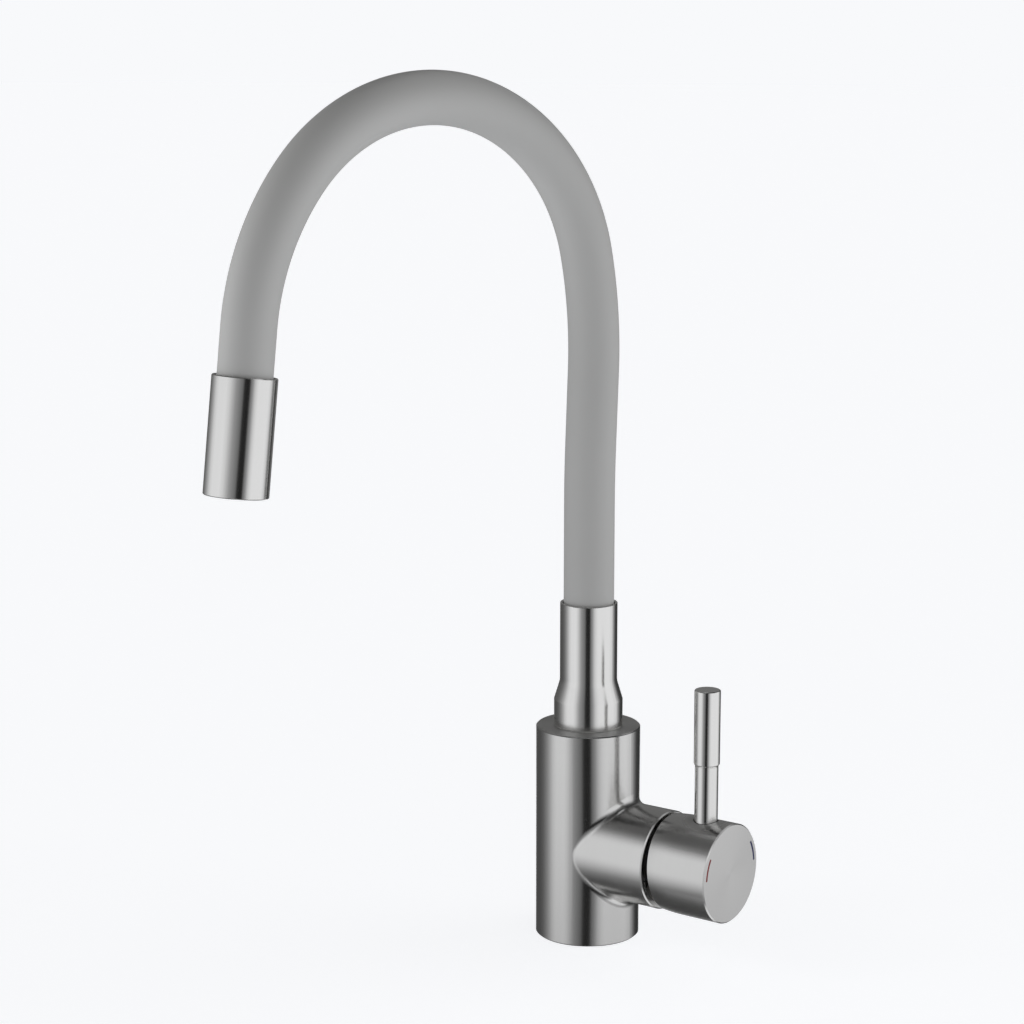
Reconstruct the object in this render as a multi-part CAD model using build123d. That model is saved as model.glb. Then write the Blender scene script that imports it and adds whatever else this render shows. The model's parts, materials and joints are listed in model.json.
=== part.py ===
from build123d import *

import math
import os

# Flexible kitchen faucet: a cast body with a side lever, and a silicone covered gooseneck spout.
# Lengths are in millimetres and angles in degrees. +Z is up and the origin is the centre of the
# base. The cartridge axis runs along +X. The spout leaves the column's top, and its arch lies in
# the upright plane that spout_azimuth gives, counted from +X.

# Fits and cutting
seat_clearance = 0.05
running_clearance = 0.08
slide_clearance = 0.3
overrun = 1.0

# Column and side housing
column_radius = 22.5
column_height = 92.8
column_edge = 0.5
housing_radius = 21.15
housing_reach = 42.0
housing_blend = 4.0
mouth_edge = 0.5
cartridge_axis_height = 39.9

# Base of the column
base_seal_outer_radius = 20.5
base_seal_inner_radius = 17.5
base_seal_depth = 2.0
stud_hole_radius = 3.4
stud_hole_depth = 14.0
stud_hole_offset = 12.0
inlet_hole_radius = 4.5
inlet_hole_depth = 12.0
inlet_offset = -4.0
inlet_spread = 9.2
inlet_channel_radius = 3.6
outlet_channel_radius = 4.0
outlet_channel_offset = -12.0

# Cartridge
cartridge_radius = 17.5
cavity_depth = 38.5
cavity_clearance = 0.15
cartridge_wall = 2.3
cartridge_cap = 3.0
port_rise = 4.5
port_drop = 9.5
port_seal_radius = 4.6
port_seal_depth = 1.2
port_seal_stand = 0.2
peg_radius = 1.5
peg_length = 2.5
upper_peg_rise = 12.5
lower_peg_drop = 8.0
lower_peg_spread = 11.5
base_depth = 5.8
disc_seal_depth = 1.0
disc_seal_wall = 1.0
disc_port_radius = 2.4
disc_port_spread = 6.2
disc_port_rise = 3.6
disc_port_drop = 6.6
fixed_disc_radius = 15.0
disc_depth = 3.5
disc_film = 0.02
moving_disc_radius = 11.5
mixing_pocket_depth = 2.0
mixing_pocket_width = 16.4
mixing_pocket_height = 9.6
mixing_pocket_centre_drop = 3.9
carrier_radius = 11.5
carrier_depth = 4.3
carrier_flat = 11.0
carrier_gap = 0.2
rotor_flange_depth = 8.0
rotor_neck_radius = 10.8
rotor_neck_stand = 2.5
rotor_lug_height = 12.0
rotor_lug_depth = 2.6
pin_radius = 1.5
pin_length = 26.0
pin_from_flange = 4.0
stem_width = 8.0
stem_foot_radius = 1.4
stem_ball_radius = 2.0
nut_radius = 18.6
nut_bore_radius = 12.6
nut_depth = 7.0
nut_notch_width = 4.0
nut_notch_depth = 3.0
nut_notch_count = 6

# Lever
lift_limit = 20.0
hub_radius = 21.15
hub_stand = 2.9
hub_length = 28.2
hub_rear_tilt = 4.3
hub_rear_radius = 20.2
hub_rear_round = 10.0
hub_edge = 0.5
hub_wall = 2.75
hub_end_wall = 3.2
stem_boss_radius = 8.5
stem_boss_length = 22.2
stem_end_gap = 3.0
rod_inset = 12.5
rod_boss_radius = 7.0
rod_socket_depth = 4.0
rod_thread_radius = 3.0
rod_radius = 4.95
grip_radius = 5.5
grip_low = 85.0
grip_high = 117.3
grip_top_edge = 0.6
grip_low_edge = 0.8
grip_groove_height = 0.4
grip_groove_depth = 0.3
grub_inset = 19.4
grub_radius = 2.5
grub_length = 8.0
grub_socket_radius = 1.45
grub_socket_depth = 2.5
grub_boss_radius = 4.6
mark_radius = 18.6
mark_width = 1.0
mark_depth = 0.6
mark_start = 4.0
mark_turn = 29.0

# Swivel at the column's top
spigot_radius = 12.0
spigot_depth = 27.0
spigot_floor_gap = 1.5
spigot_bore_radius = 6.0
spigot_seal_section = 0.85
spigot_seal_groove_width = 2.4
spigot_seal_inset = 4.5
spigot_catch_depth = 2.2
spigot_catch_width = 5.0
slip_ring_depth = 0.6
slip_ring_outer_radius = 14.2
slip_ring_gap = 0.05
retaining_screw_radius = 2.5
retaining_screw_tip_radius = 1.6
retaining_screw_tip_length = 2.0
retaining_screw_inset = 1.6
retaining_socket_radius = 1.45
retaining_socket_depth = 2.5

# Collar
collar_top = 146.8
collar_radius = 12.3
collar_foot_radius = 14.8
collar_flare_low = 104.4
collar_flare_high = 112.6
collar_flare_round = 8.0
collar_foot_round = 1.2
collar_edge = 0.3
collar_gap = 0.4
spigot_top = 108.0

# Gooseneck spout: the sleeve, the bendable conduit in it and the water tube
spout_azimuth = 255.0
sleeve_radius = 10.8
sleeve_bore_radius = 8.9
conduit_radius = 8.2
conduit_bore_radius = 6.0
water_tube_radius = 5.3
water_tube_bore_radius = 4.0
sleeve_end_gap = 0.1
riser_run = 81.6
lean_radius = 600.0
lean_turn = 2.3
lean_run = 32.5
rise_radius = 199.7
crown_entry_heading = 12.2
crown_radius = 81.4
crown_exit_heading = 140.1
drop_radius = 106.0
outlet_heading = 173.6
outlet_run = 18.2

# Ball ends that stand for the conduit's bends
ball_radius = 7.6
ball_gap = 0.3
ball_neck = 3.2
cup_start = 2.0
side_bend_share = 0.9
riser_bend_share = 0.5
crown_bend_heading = 45.0
crown_turn_heading = 100.0
outlet_bend_heading = 155.0

# Hose fittings
ferrule_shank_radius = 7.0
ferrule_shank_length = 10.0
ferrule_flange_depth = 2.5
ferrule_barb_length = 13.5
ferrule_barb_clearance = 0.1
ferrule_bore_radius = 2.8

# Outlet
outlet_radius = 12.7
outlet_length = 46.0
outlet_edge = 0.35
outlet_socket_radius = 11.5
outlet_socket_depth = 13.0
outlet_web_depth = 4.0
outlet_web_bore_radius = 6.45
outlet_chamber_radius = 9.6
sleeve_insert = 12.0
outlet_shoulder_depth = 2.5
outlet_nut_flats = 15.0
outlet_nut_depth = 3.5
outlet_thread_tail = 1.5
aerator_bore_radius = 11.0
aerator_length = 11.0
aerator_recess = 0.8
aerator_wall = 1.5
aerator_seal_depth = 1.6
aerator_seal_width = 2.6
aerator_key_width = 3.0
aerator_key_depth = 1.5
aerator_lip = 0.9
screen_depth = 0.6
screen_hole_radius = 0.55
screen_hole_pitch = 1.9
straightener_depth = 5.0
straightener_hole_radius = 0.8
straightener_hole_pitch = 2.1

# Places of the lever along the cartridge axis, worked out from the housing's mouth
hub_rear = housing_reach + hub_stand
hub_far = hub_rear + hub_length
stem_boss_near = hub_far - hub_end_wall - stem_boss_length
rod_offset = hub_far - rod_inset
grub_offset = hub_far - grub_inset

# Places along the cartridge axis, worked out from the cavity's floor outwards
cavity_floor = housing_reach - cavity_depth
base_near = cavity_floor + port_seal_stand
base_far = base_near + base_depth
moving_disc_near = base_far + disc_depth + disc_film
carrier_near = moving_disc_near + disc_depth
rotor_near = carrier_near + carrier_depth + carrier_gap
flange_far = rotor_near + rotor_flange_depth
pin_place = rotor_near + pin_from_flange
cartridge_far = flange_far + running_clearance + cartridge_cap
neck_far = cartridge_far + rotor_neck_stand
nut_near = cartridge_far + seat_clearance
stem_far = hub_far - hub_end_wall - stem_end_gap
ball_place = carrier_near + stem_ball_radius + slide_clearance
cavity_radius = cartridge_radius + cavity_clearance
hub_bore_radius = hub_radius - hub_wall

# Heights on the column
spigot_foot = column_height - spigot_depth
spigot_bore_floor = spigot_foot - spigot_floor_gap
spigot_step = column_height + slip_ring_depth
catch_height = column_height - spigot_depth / 2
collar_foot = spigot_step
collar_bore_radius = sleeve_radius + collar_gap

# The three water ports as places across the cartridge axis: hot, cold and mixed
body_ports = [(-inlet_spread, port_rise), (inlet_spread, port_rise), (0, -port_drop)]
disc_ports = [(-disc_port_spread, disc_port_rise), (disc_port_spread, disc_port_rise), (0, -disc_port_drop)]
base_pegs = [(0, upper_peg_rise), (-lower_peg_spread, -lower_peg_drop)]

from_low = (Align.CENTER, Align.CENTER, Align.MIN)


def upright(radius, low, high, x=0, y=0):
    """A cylinder that stands between two heights."""
    return Pos(x, y, low) * Cylinder(radius, high - low, align=from_low)


def upright_ring(outer, inner, low, high):
    """A ring about the column's axis between two heights."""
    return upright(outer, low, high) - upright(inner, low - overrun, high + overrun)


def sideways(radius, near, far, y=0, z=0):
    """A cylinder along the cartridge axis, y and z across it from that axis."""
    place = Pos(near, y, cartridge_axis_height + z) * Rot(0, 90, 0)
    return place * Cylinder(radius, far - near, align=from_low)


def sideways_ring(outer, inner, near, far, y=0, z=0):
    """A ring about a line along the cartridge axis."""
    return sideways(outer, near, far, y, z) - sideways(inner, near - overrun, far + overrun, y, z)


def sideways_block(near, far, width, low, high):
    """A block along the cartridge axis, width across it, low and high from that axis."""
    middle = Pos((near + far) / 2, 0, cartridge_axis_height + (low + high) / 2)
    return middle * Box(far - near, width, high - low)


def circles_at(shape, radius, height):
    """The round edges of one radius whose centres lie at one height."""
    found = shape.edges().filter_by(GeomType.CIRCLE)
    level = found.filter_by(lambda e: math.isclose(e.arc_center.Z, height, abs_tol=seat_clearance))
    return level.filter_by(lambda e: math.isclose(e.radius, radius, abs_tol=seat_clearance))


# Column


def body_outside():
    """The column and the side housing as one casting, softly blended where they meet."""
    body = upright(column_radius, 0, column_height) + sideways(housing_radius, 0, housing_reach)
    meeting = body.edges().filter_by(lambda e: e.geom_type not in (GeomType.CIRCLE, GeomType.LINE))
    body = fillet(meeting, housing_blend)
    ends = circles_at(body, column_radius, column_height) + circles_at(body, column_radius, 0)
    body = chamfer(ends, column_edge)
    rounds = body.edges().filter_by(GeomType.CIRCLE)
    mouth = rounds.filter_by(lambda e: e.arc_center.X > housing_reach - mouth_edge)
    return chamfer(mouth, mouth_edge)


def waterways():
    """The hot, cold and mixed water channels, cut as one tool."""
    channels = upright(outlet_channel_radius, cartridge_axis_height - port_drop,
                       spigot_bore_floor + overrun, outlet_channel_offset)
    channels += sideways(outlet_channel_radius, outlet_channel_offset, cavity_floor + overrun, 0, -port_drop)
    channels += upright(outlet_channel_radius, spigot_bore_floor - outlet_channel_radius,
                        spigot_bore_floor + overrun, outlet_channel_offset + outlet_channel_radius)
    for side in (-1, 1):
        spread = side * inlet_spread
        channels += upright(inlet_hole_radius, -overrun, inlet_hole_depth, inlet_offset, spread)
        channels += upright(inlet_channel_radius, 0, cartridge_axis_height + port_rise, inlet_offset, spread)
        channels += sideways(inlet_channel_radius, inlet_offset, cavity_floor + overrun, spread, port_rise)
    return channels


def retaining_hole(radius, inner, outer):
    """A cylinder through the column's back at the height of the spigot's catch."""
    place = Pos(0, inner, catch_height) * Rot(-90, 0, 0)
    return place * Cylinder(radius, outer - inner, align=from_low)


def body_casting():
    """The body with its cartridge cavity, spigot bore, waterways and base holes."""
    body = body_outside()
    body -= sideways(cavity_radius, cavity_floor, housing_reach + overrun)
    body -= sideways(nut_radius, cartridge_far, housing_reach + overrun)
    for y, z in base_pegs:
        body -= sideways(peg_radius + seat_clearance, cavity_floor - peg_length - seat_clearance,
                         cavity_floor + overrun, y, z)
    body -= upright(spigot_radius + running_clearance, spigot_bore_floor, column_height + overrun)
    body -= waterways()
    body -= upright(stud_hole_radius, -overrun, stud_hole_depth, stud_hole_offset)
    body -= upright_ring(base_seal_outer_radius, base_seal_inner_radius, -overrun, base_seal_depth)
    body -= retaining_hole(retaining_screw_radius, 0, column_radius + overrun)
    return body


def base_seal():
    """The rubber ring in the groove of the base."""
    return upright_ring(base_seal_outer_radius - seat_clearance, base_seal_inner_radius + seat_clearance,
                        0, base_seal_depth)


# Cartridge


def cartridge_base():
    """The plastic foot with three ports, seal seats and two locating pegs."""
    base = sideways(cartridge_radius, base_near, base_far)
    middle = (base_near + base_far) / 2
    for y, z in base_pegs:
        base += sideways(peg_radius, cavity_floor - peg_length, base_near + overrun, y, z)
    for (y, z), (disc_y, disc_z) in zip(body_ports, disc_ports):
        base -= sideways(inlet_channel_radius, base_near - overrun, middle, y, z)
        base -= sideways(port_seal_radius + seat_clearance, base_near - overrun,
                         cavity_floor + port_seal_depth, y, z)
        base -= sideways(disc_port_radius, middle - overrun, base_far + overrun, disc_y, disc_z)
        base -= sideways(disc_port_radius + disc_seal_wall + seat_clearance,
                         base_far - disc_seal_depth, base_far + overrun, disc_y, disc_z)
    return base


def port_seals():
    """Three rubber rings between the cartridge's foot and the body."""
    far = cavity_floor + port_seal_depth
    return Compound(children=[
        sideways_ring(port_seal_radius, inlet_channel_radius, cavity_floor, far, y, z)
        for y, z in body_ports
    ])


def disc_seals():
    """Three rubber rings under the fixed disc."""
    outer = disc_port_radius + disc_seal_wall
    return Compound(children=[
        sideways_ring(outer, disc_port_radius, base_far - disc_seal_depth, base_far, y, z)
        for y, z in disc_ports
    ])


def fixed_disc():
    """The ceramic disc that stays, with its three ports."""
    disc = sideways(fixed_disc_radius, base_far, base_far + disc_depth)
    for y, z in disc_ports:
        disc -= sideways(disc_port_radius, base_far - overrun, base_far + disc_depth + overrun, y, z)
    return disc


def moving_disc():
    """The ceramic disc that slides and turns, with the pocket that joins the ports."""
    disc = sideways(moving_disc_radius, moving_disc_near, moving_disc_near + disc_depth)
    outline = RectangleRounded(mixing_pocket_height, mixing_pocket_width, mixing_pocket_height / 2 - overrun)
    pocket = extrude(outline, mixing_pocket_depth + overrun)
    place = Pos(moving_disc_near - overrun, 0, cartridge_axis_height - mixing_pocket_centre_drop)
    return disc - place * Rot(0, 90, 0) * pocket


def disc_carrier():
    """The plastic carrier on the moving disc, with the socket for the stem's ball."""
    far = carrier_near + carrier_depth
    carrier = sideways(carrier_radius, carrier_near, far)
    carrier &= sideways_block(carrier_near, far, 2 * carrier_flat, -carrier_radius, carrier_radius)
    floor = ball_place - stem_ball_radius - slide_clearance / 2
    return carrier - sideways(stem_ball_radius + slide_clearance, floor, far + overrun)


def cartridge_housing():
    """The plastic shell that holds the discs and the rotor."""
    cap_near = flange_far + running_clearance
    shell = sideways_ring(cartridge_radius, cartridge_radius - cartridge_wall, base_far, cap_near)
    bore = rotor_neck_radius + running_clearance
    return shell + sideways_ring(cartridge_radius, bore, cap_near, cartridge_far)


def stem_slot():
    """The opening through the rotor in which the stem tilts."""
    lean = math.tan(math.radians(lift_limit))
    half = stem_width / 2 / math.cos(math.radians(lift_limit)) + slide_clearance
    low = -half - (neck_far - pin_place) * lean
    high = half + (pin_place - rotor_near) * lean
    width = stem_width + 2 * slide_clearance
    return sideways_block(rotor_near - overrun, neck_far + overrun, width, low, high)


def rotor_lugs():
    """Two lugs at the carrier's flats, which turn the disc and let it slide."""
    reach = cartridge_radius - cartridge_wall - slide_clearance
    near = rotor_near - rotor_lug_depth
    half = rotor_lug_height / 2
    lugs = sideways(reach, near, rotor_near + overrun)
    lugs &= sideways_block(near, rotor_near + overrun, 2 * reach, -half, half)
    gap = 2 * (carrier_flat + slide_clearance)
    return lugs - sideways_block(near - overrun, rotor_near, gap, -reach, reach)


def cartridge_rotor():
    """The plastic rotor that turns in the housing and carries the stem's pin."""
    reach = cartridge_radius - cartridge_wall - slide_clearance
    rotor = sideways(reach, rotor_near, flange_far) + sideways(rotor_neck_radius, flange_far, neck_far)
    rotor += rotor_lugs()
    rotor -= stem_slot()
    return rotor - across(pin_radius + seat_clearance, pin_length / 2 + seat_clearance)


def across(radius, half_length):
    """A cylinder along Y through the pin's place."""
    place = Pos(pin_place, -half_length, cartridge_axis_height) * Rot(-90, 0, 0)
    return place * Cylinder(radius, 2 * half_length, align=from_low)


def stem_pin():
    """The steel pin on which the stem tilts."""
    return across(pin_radius, pin_length / 2)


def lever_stem():
    """The square stem, rounded about its pin, with the ball foot that slides the disc."""
    half = stem_width / 2
    stem = sideways_block(pin_place, stem_far, stem_width, -half, half)
    stem += across(half, half)
    stem += sideways(stem_foot_radius, ball_place, pin_place)
    stem += Pos(ball_place, 0, cartridge_axis_height) * Sphere(stem_ball_radius)
    return stem - across(pin_radius + running_clearance, half + overrun)


def cartridge_nut():
    """The notched ring nut that clamps the cartridge."""
    far = nut_near + nut_depth
    nut = sideways_ring(nut_radius - seat_clearance, nut_bore_radius, nut_near, far)
    notch = sideways_block(far - nut_notch_depth, far + overrun, nut_notch_width, 0, nut_radius + overrun)
    axis = Axis((0, 0, cartridge_axis_height), (1, 0, 0))
    for turn in range(nut_notch_count):
        nut -= notch.rotate(axis, turn * 360 / nut_notch_count)
    return nut


# Lever


def hub_profile():
    """Half the hub's outline, whose rear end draws in softly."""
    round_start = hub_rear + hub_rear_round
    rear = hub_rear - hub_radius * math.tan(math.radians(hub_rear_tilt)) - overrun
    drop = hub_radius - hub_rear_radius
    shoulder = TangentArc((round_start, hub_radius), (rear, hub_radius - drop), tangent=(-1, 0))
    rest = Polyline((rear, hub_radius - drop), (rear, 0), (hub_far, 0), (hub_far, hub_radius - hub_edge),
                    (hub_far - hub_edge, hub_radius), (round_start, hub_radius))
    return make_face([shoulder, rest.edges()])


def hub_outside():
    """The turned outside of the hub with its slanted rear rim."""
    face = Plane.XZ * hub_profile()
    turned = revolve(face, Axis.X)
    block = Box(2 * hub_radius, 3 * hub_radius, 3 * hub_radius)
    turned -= Pos(hub_rear, 0, 0) * Rot(0, -hub_rear_tilt, 0) * Pos(-hub_radius, 0, 0) * block
    return Pos(0, 0, cartridge_axis_height) * turned


def hub_hollow():
    """The space inside the hub, around the bosses for the stem, the rod and the grub screw."""
    far = hub_far - hub_end_wall
    axis = cartridge_axis_height
    hollow = sideways(hub_bore_radius, 0, far)
    hollow -= sideways(stem_boss_radius, stem_boss_near, far + overrun)
    hollow -= upright(rod_boss_radius, axis, axis + hub_radius, rod_offset)
    return hollow - upright(grub_boss_radius, axis - hub_radius, axis, grub_offset)


def mark(side, clearance=0):
    """One colour mark, an arc let into the hub's end face on one side."""
    outline = Pos(hub_far - mark_depth / 2, mark_radius) * Rectangle(
        mark_depth, mark_width + 2 * clearance)
    face = Plane.XY * outline
    arc = revolve(face, Axis.X, revolution_arc=mark_turn)
    arc = arc.rotate(Axis.X, mark_start)
    if side < 0:
        arc = arc.mirror(Plane.XZ)
    return Pos(0, 0, cartridge_axis_height) * arc


def lever_hub():
    """The hollow hub of the lever."""
    hub = hub_outside() - hub_hollow()
    half = stem_width / 2 + seat_clearance
    hub -= sideways_block(stem_boss_near - overrun, stem_far + seat_clearance, 2 * half, -half, half)
    crest = cartridge_axis_height + hub_radius
    hub -= upright(rod_radius + seat_clearance, crest - rod_socket_depth, crest + overrun, rod_offset)
    hub -= upright(rod_thread_radius + seat_clearance, cartridge_axis_height, crest, rod_offset)
    low = cartridge_axis_height - hub_radius - overrun
    hub -= upright(grub_radius + seat_clearance, low, cartridge_axis_height, grub_offset)
    return hub - mark(1, seat_clearance) - mark(-1, seat_clearance)


def hot_mark():
    """The red mark, on the side that the spout points to."""
    return mark(-1)


def cold_mark():
    """The blue mark, on the other side."""
    return mark(1)


def lever_rod():
    """The upright rod with its thicker grip and its threaded foot."""
    socket = cartridge_axis_height + hub_radius - rod_socket_depth
    foot = cartridge_axis_height + stem_width / 2 + slide_clearance
    groove = grip_low - grip_groove_height
    rod = upright(rod_thread_radius, foot, socket + overrun, rod_offset)
    rod += upright(rod_radius, socket, groove, rod_offset)
    rod += upright(rod_radius - grip_groove_depth, groove - overrun, grip_low + overrun, rod_offset)
    grip = upright(grip_radius, grip_low, grip_high, rod_offset)
    grip = fillet(circles_at(grip, grip_radius, grip_low), grip_low_edge)
    grip = fillet(circles_at(grip, grip_radius, grip_high), grip_top_edge)
    return rod + grip


def hex_socket(radius, depth):
    """A hexagonal socket cutter that stands on the origin."""
    return extrude(RegularPolygon(radius, 6), depth)


def hub_grub_screw():
    """The screw under the hub that grips the stem."""
    high = cartridge_axis_height - stem_width / 2
    low = high - grub_length
    screw = upright(grub_radius, low, high, grub_offset)
    socket = hex_socket(grub_socket_radius, grub_socket_depth + overrun)
    return screw - Pos(grub_offset, 0, low - overrun) * socket


# Swivel


def spout_spigot():
    """The turned spigot in the column's top, with its seal grooves and its catch groove."""
    spigot = upright(spigot_radius, spigot_foot, spigot_step)
    spigot += upright(collar_bore_radius - seat_clearance, spigot_step - overrun, spigot_top)
    for height in seal_heights():
        half = spigot_seal_groove_width / 2
        spigot -= upright_ring(spigot_radius + overrun, seal_centre() - spigot_seal_section - seat_clearance,
                               height - half, height + half)
    half = spigot_catch_width / 2
    spigot -= upright_ring(spigot_radius + overrun, spigot_radius - spigot_catch_depth,
                           catch_height - half, catch_height + half)
    spigot -= upright(spigot_bore_radius, spigot_foot - overrun, spigot_top + overrun)
    return spigot - upright(ferrule_shank_radius + seat_clearance, spigot_top - ferrule_shank_length,
                            spigot_top + overrun)


def seal_heights():
    """The heights of the two seals on the spigot."""
    return (spigot_foot + spigot_seal_inset, column_height - spigot_seal_inset)


def seal_centre():
    """The radius of the seals' centre line, which just reaches past the spigot towards the bore."""
    return spigot_radius + running_clearance / 2 - spigot_seal_section


def spigot_seals():
    """Two rubber rings in the spigot's grooves."""
    ring = Torus(seal_centre(), spigot_seal_section)
    return Compound(children=[Pos(0, 0, height) * ring for height in seal_heights()])


def slip_ring():
    """The plastic ring on which the collar turns."""
    inner = spigot_radius + slide_clearance
    return upright_ring(slip_ring_outer_radius, inner, column_height, spigot_step - slip_ring_gap)


def retaining_screw():
    """The screw in the column's back whose tip holds the spigot down."""
    outer = column_radius - retaining_screw_inset
    inner = spigot_radius + slide_clearance
    tip = inner - retaining_screw_tip_length
    screw = retaining_hole(retaining_screw_radius - seat_clearance, inner, outer)
    screw += retaining_hole(retaining_screw_tip_radius, tip, inner + overrun)
    socket = Pos(0, outer - retaining_socket_depth, catch_height) * Rot(-90, 0, 0)
    return screw - socket * hex_socket(retaining_socket_radius, retaining_socket_depth + overrun)


def spout_collar():
    """The flared collar around the spigot and the sleeve's lower end."""
    outline = Polyline((collar_bore_radius, collar_foot), (collar_foot_radius, collar_foot),
                       (collar_foot_radius, collar_flare_low), (collar_radius, collar_flare_high),
                       (collar_radius, collar_top), (collar_bore_radius, collar_top), close=True)
    face = make_face(outline)
    corners = face.vertices()
    face = fillet(corners.filter_by(lambda v: math.isclose(v.Y, collar_flare_high)), collar_flare_round)
    corners = face.vertices().filter_by(lambda v: math.isclose(v.Y, collar_flare_low))
    face = fillet(corners.filter_by(lambda v: math.isclose(v.X, collar_foot_radius)), collar_foot_round)
    rims = face.vertices().filter_by(lambda v: math.isclose(v.Y, collar_top))
    face = fillet(rims, collar_edge)
    return revolve(Plane.XZ * face, Axis.Z)


# Route of the gooseneck: straight runs and tangent arcs, each as a length and a turn


def route_pieces():
    """The spout's line as (length, turn) pieces from the spigot's top to the sleeve's end."""
    return [
        (riser_run, 0),
        arc_piece(lean_radius, -lean_turn),
        (lean_run, 0),
        arc_piece(rise_radius, lean_turn + crown_entry_heading),
        arc_piece(crown_radius, crown_exit_heading - crown_entry_heading),
        arc_piece(drop_radius, outlet_heading - crown_exit_heading),
        (outlet_run + sleeve_insert, 0),
    ]


def arc_piece(radius, turn):
    """An arc as its length and its signed turn."""
    return (radius * math.radians(abs(turn)), turn)


def advance(reach, height, heading, length, turn):
    """The place and heading after a piece of the route, in the spout's plane."""
    if turn == 0:
        bearing = math.radians(heading)
        return reach + length * math.sin(bearing), height + length * math.cos(bearing), heading
    chord_turn = math.radians(turn / 2)
    chord = length * math.sin(chord_turn) / chord_turn
    bearing = math.radians(heading + turn / 2)
    return reach + chord * math.sin(bearing), height + chord * math.cos(bearing), heading + turn


def in_space(reach, height):
    """A point of the spout's plane as a point in space."""
    turn = math.radians(spout_azimuth)
    return Vector(reach * math.cos(turn), reach * math.sin(turn), height)


def route_place(length):
    """The reach, height and heading at a length along the route."""
    place = (0, spigot_top, 0)
    pieces = route_pieces()
    for index, (piece_length, turn) in enumerate(pieces):
        last = index == len(pieces) - 1
        if length <= piece_length or last:
            share = length / piece_length
            return advance(*place, length, turn * share)
        place = advance(*place, piece_length, turn)
        length -= piece_length
    return place


def route_point(length):
    """The point in space at a length along the route."""
    reach, height, _ = route_place(length)
    return in_space(reach, height)


def route_direction(length):
    """The direction of the route at a length along it."""
    heading = math.radians(route_place(length)[2])
    return in_space(math.sin(heading), math.cos(heading))


def route_wire(start, end):
    """The route between two lengths, as lines and arcs."""
    edges = []
    done = 0
    pieces = route_pieces()
    for index, (piece_length, turn) in enumerate(pieces):
        low = max(start, done)
        last = index == len(pieces) - 1
        high = end if last else min(end, done + piece_length)
        if high > low:
            if turn == 0:
                edges.append(Edge.make_line(route_point(low), route_point(high)))
            else:
                middle = route_point((low + high) / 2)
                edges.append(Edge.make_three_point_arc(route_point(low), middle, route_point(high)))
        done += piece_length
    return Wire(edges)


def rod_along(radius, start, end):
    """A round rod that follows the route between two lengths."""
    plane = Plane(route_point(start), z_dir=route_direction(start))
    return sweep(plane * Circle(radius), path=route_wire(start, end))


def tube_along(outer, inner, start, end):
    """A tube that follows the route between two lengths."""
    return rod_along(outer, start, end) - rod_along(inner, start, end)


def length_at_heading(heading):
    """The length along the route where it first reaches a heading on the crown or the drop."""
    length = 0
    now = 0
    for piece_length, turn in route_pieces():
        if turn > 0 and now + turn >= heading:
            return length + piece_length * (heading - now) / turn
        length += piece_length
        now += turn
    return length


def bend_lengths():
    """The lengths along the route at which the conduit bends, from the riser to the outlet."""
    lean_start = riser_run + arc_piece(lean_radius, lean_turn)[0]
    return [
        riser_run * side_bend_share,
        lean_start + lean_run * riser_bend_share,
        length_at_heading(crown_bend_heading),
        length_at_heading(crown_turn_heading),
        length_at_heading(outlet_bend_heading),
    ]


def route_length():
    """The whole route's length, to the sleeve's end in the outlet."""
    return sum(length for length, _ in route_pieces())


def rim_length():
    """The length along the route at which the outlet's upper rim lies."""
    return route_length() - sleeve_insert


# Hose


def silicone_sleeve():
    """The soft outer sleeve from the collar into the outlet."""
    return tube_along(sleeve_radius, sleeve_bore_radius, sleeve_end_gap, route_length())


def conduit_low():
    """The length along the route at which the conduit and the water tube start."""
    return ferrule_flange_depth + seat_clearance


def conduit_high():
    """The length along the route at which the conduit and the water tube end."""
    return rim_length() + outlet_socket_depth - outlet_shoulder_depth - 2 * seat_clearance


def water_tube():
    """The inner hose that carries the water."""
    return tube_along(water_tube_radius, water_tube_bore_radius, conduit_low(), conduit_high())


def conduit_section(index):
    """One stretch of the bendable conduit, cupped over the ball below it and with a ball above."""
    bends = bend_lengths()
    first = index == 0
    last = index == len(bends)
    start = conduit_low() if first else bends[index - 1] + cup_start
    end = conduit_high() if last else bends[index] - ball_neck
    section = rod_along(conduit_radius, start, end)
    bore_end = end
    if not last:
        section += Pos(route_point(bends[index])) * Sphere(ball_radius)
        bore_end = bends[index] + ball_radius + overrun
    section -= rod_along(conduit_bore_radius, start, bore_end)
    if not first:
        section -= Pos(route_point(bends[index - 1])) * Sphere(ball_radius + ball_gap)
    return section


# Fittings at the hose's ends


def ferrule(shank_radius, shank_length):
    """A hose fitting that stands on the origin: shank below, flange and barb above."""
    barb_radius = water_tube_bore_radius - ferrule_barb_clearance
    fitting = upright(shank_radius, -shank_length, overrun)
    fitting += upright(conduit_radius, 0, ferrule_flange_depth)
    fitting += upright(barb_radius, 0, ferrule_flange_depth + ferrule_barb_length)
    low = -shank_length - overrun
    return fitting - upright(ferrule_bore_radius, low, ferrule_flange_depth + ferrule_barb_length + overrun)


def lower_ferrule():
    """The fitting between the spigot and the hose."""
    return Pos(0, 0, spigot_top) * ferrule(ferrule_shank_radius, ferrule_shank_length)


def at_outlet(shape):
    """Places a shape whose Z runs down the outlet from its upper rim."""
    plane = Plane(route_point(rim_length()), x_dir=in_space(0, 1).cross(in_space(1, 0)),
                  z_dir=route_direction(rim_length()))
    return plane.location * shape


def upper_ferrule():
    """The fitting between the hose and the outlet, with its flange on the outlet's web."""
    length = outlet_web_depth + outlet_nut_depth + outlet_thread_tail
    fitting = Rot(180, 0, 0) * ferrule(outlet_web_bore_radius - seat_clearance, length)
    return at_outlet(Pos(0, 0, outlet_socket_depth - seat_clearance) * fitting)


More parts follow.
